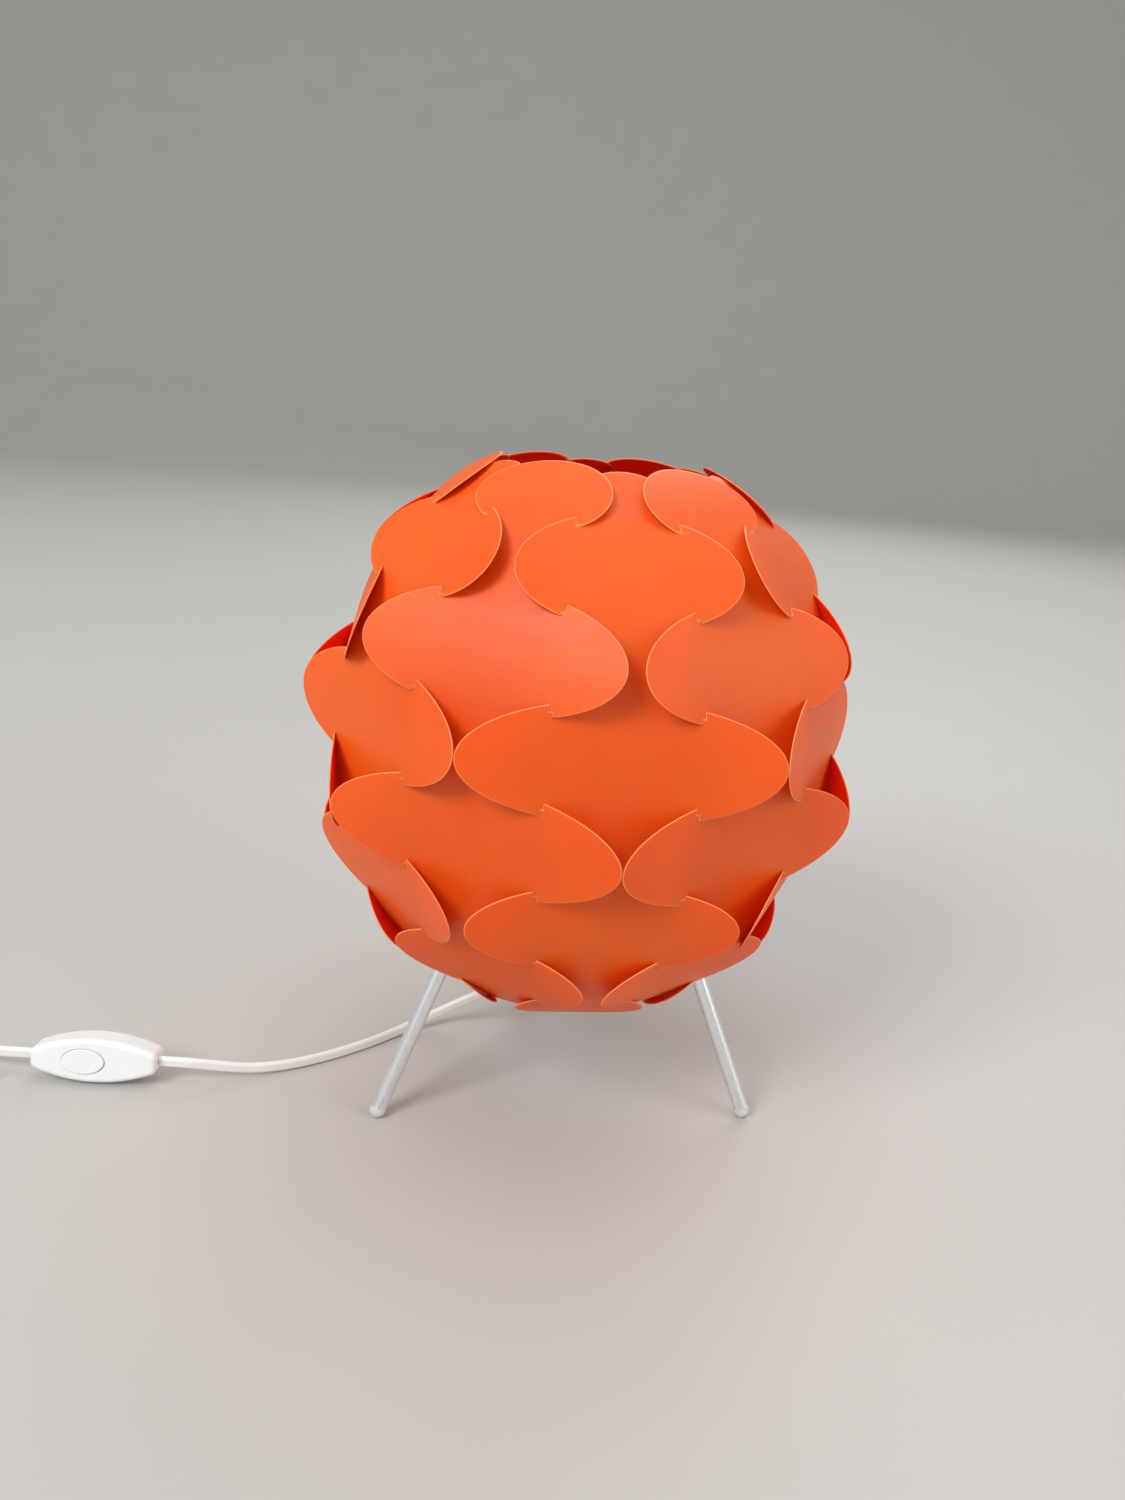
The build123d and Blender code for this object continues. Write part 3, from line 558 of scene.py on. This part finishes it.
def tidy_normals(piece):
    """Turns every face outwards and marks the sharp edges."""
    shape = bmesh.new()
    shape.from_mesh(piece.data)
    bmesh.ops.recalc_face_normals(shape, faces=shape.faces)
    shape.to_mesh(piece.data)
    shape.free()
    piece.data.set_sharp_from_angle(angle=radians(CORD_SHARP_ANGLE))


def switch_point(x):
    """A point on the switch's long axis."""
    along, across = SWITCH_MIDDLE
    return (along + x * cos(SWITCH_YAW), across + x * sin(SWITCH_YAW), SWITCH_AXIS_HEIGHT)


def coil_route():
    """Seven and a quarter turns: four inwards on the table, then back outwards on top of them."""
    points = []
    along, across = COIL_CENTRE
    for step in range(int((COIL_LOW_TURNS + COIL_HIGH_TURNS) * COIL_STEPS) + 1):
        turns = step / COIL_STEPS
        if turns <= COIL_LOW_TURNS:
            radius = COIL_MEAN_R + CORD_WIDE * (COIL_OUTERMOST - turns)
        else:
            radius = COIL_MEAN_R + CORD_WIDE * (turns - COIL_LOW_TURNS - COIL_UPPER_START)
        radius = max(radius, COIL_MEAN_R - COIL_INNERMOST * CORD_WIDE) / cos(pi / COIL_STEPS)
        climb = min(max((turns - COIL_LOW_TURNS + COIL_CLIMB_TURNS / 2) / COIL_CLIMB_TURNS, 0), 1)
        height = CORD_WIDE / 2 + COIL_LAYER * climb * climb * (3 - 2 * climb)
        angle = radians(90) + 2 * pi * turns
        points.append((along + radius * cos(angle), across + radius * sin(angle), height))
    return points


def make_cords():
    """The lamp's cord as far as the switch, and the rest of it to the plug."""
    to_switch = [
        (0, 0, 74), (0, 0, 63), (-6, 8, 49.5), (-18, 19, 37), (-33, 28, 25), (-50, 31.5, 14.5),
        (-66.5, 29.5, 6.5), (-83, 20, 3.0), (-99, 7.5, 2.8), (-118, -4.5, 2.9), (-137.5, -13.8, 3.2),
        (-156.0, -19.8, 4.8), (-172.0, -23.2, 8.5), switch_point(SWITCH_HALF + 12), switch_point(SWITCH_HALF),
    ]
    points = nurbs_points("cord_to_switch_line", to_switch, 12)
    piece = flex_mesh("cord_lamp_to_switch", points, len(points) // 2)
    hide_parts("cord_to_switch")
    tail_x = COIL_CENTRE[0] - COIL_MEAN_R - 1.65 * CORD_WIDE
    rest = [
        switch_point(-SWITCH_HALF), switch_point(-SWITCH_HALF - 12), (-284.0, -12.2, 9.4), (-297.5, -7.0, 5.8),
        (-311.5, -4.9, 3.2), *coil_route(), (tail_x - 0.4, COIL_CENTRE[1] - 14, 7.6),
        (PLUG_X, PLUG_TAIL_Y + 13, PLUG_MIDDLE_Z), (PLUG_X, PLUG_TAIL_Y, PLUG_MIDDLE_Z),
    ]
    points = nurbs_points("cord_to_plug_line", rest, 6)
    piece = flex_mesh("cord_switch_to_plug", points, 0)
    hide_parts("cord_to_coil", "cord_coil", "cord_tail")


# ---- Floor, light and camera ----
def make_stage():
    """A plain pale floor that curves up behind the lamp."""
    made, nodes, links, shader = material("pale_floor", (0.50, 0.49, 0.47), 0.55)
    tone = noise(nodes, links, 6.0)
    colour = ramp(nodes, links, tone, (0.495, 0.485, 0.465), (0.505, 0.495, 0.475))
    links.new(colour, shader.inputs["Base Color"])
    width, front, depth, bend, wall = 9.0, -3.0, 4.0, 3.0, 3.0
    rows = [(front, 0.0), (depth, 0.0)]
    for degrees in range(6, 91, 6):
        angle = radians(degrees)
        rows.append((depth + bend * sin(angle), bend * (1 - cos(angle))))
    rows.append((depth + bend, bend + wall))
    vertices = [(side * width, y, z) for y, z in rows for side in (-1, 1)]
    faces = [(2 * i, 2 * i + 1, 2 * i + 3, 2 * i + 2) for i in range(len(rows) - 1)]
    mesh = bpy.data.meshes.new("floor")
    mesh.from_pydata(vertices, [], faces)
    mesh.materials.append(made)
    mesh.polygons.foreach_set("use_smooth", [True] * len(mesh.polygons))
    floor = bpy.data.objects.new("floor", mesh)
    bpy.context.scene.collection.objects.link(floor)


def area_light(name, place, target, size, power):
    """A soft square light aimed at a point."""
    light = bpy.data.lights.new(name, "AREA")
    light.size = size
    light.energy = power
    holder = bpy.data.objects.new(name, light)
    holder.location = place
    holder.rotation_euler = (Vector(target) - Vector(place)).to_track_quat("-Z", "Y").to_euler()
    bpy.context.scene.collection.objects.link(holder)


def make_lights():
    """Soft studio light: a broad key from the front left, a fill and a pale surround."""
    middle = (0, 0, 0.17)
    area_light("key", (-2.3, -2.1, 2.5), middle, 1.5, 98)
    area_light("fill", (2.6, -1.6, 1.5), middle, 2.0, 30)
    area_light("above", (0.1, 0.2, 3.0), middle, 2.0, 18)
    area_light("rear", (1.2, 2.8, 2.2), middle, 2.0, 30)
    world = bpy.data.worlds.new("surround")
    world.use_nodes = True
    surround = world.node_tree.nodes["Background"]
    surround.inputs["Color"].default_value = (1.0, 0.99, 0.98, 1)
    surround.inputs["Strength"].default_value = 0.54
    bpy.context.scene.world = world
    bpy.context.scene.view_settings.view_transform = "Standard"


def make_camera():
    """The camera: in front, a little left and above, turned and tilted as the view needs."""
    camera = bpy.data.cameras.new("camera")
    camera.sensor_fit = "VERTICAL"
    camera.sensor_height = 24.0
    camera.lens = 18.24
    camera.clip_start = 0.01
    holder = bpy.data.objects.new("camera", camera)
    turn = Matrix.Rotation(radians(CAMERA_TURN), 4, "Z")
    pitch = Matrix.Rotation(radians(CAMERA_PITCH), 4, "X")
    roll = Matrix.Rotation(radians(CAMERA_ROLL), 4, "Z")
    holder.matrix_world = Matrix.Translation(CAMERA_PLACE) @ turn @ pitch @ roll
    bpy.context.scene.collection.objects.link(holder)
    bpy.context.scene.camera = holder


make_camera()
dress_cad_nodes()
make_cords()
make_shade()
make_stage()
make_lights()
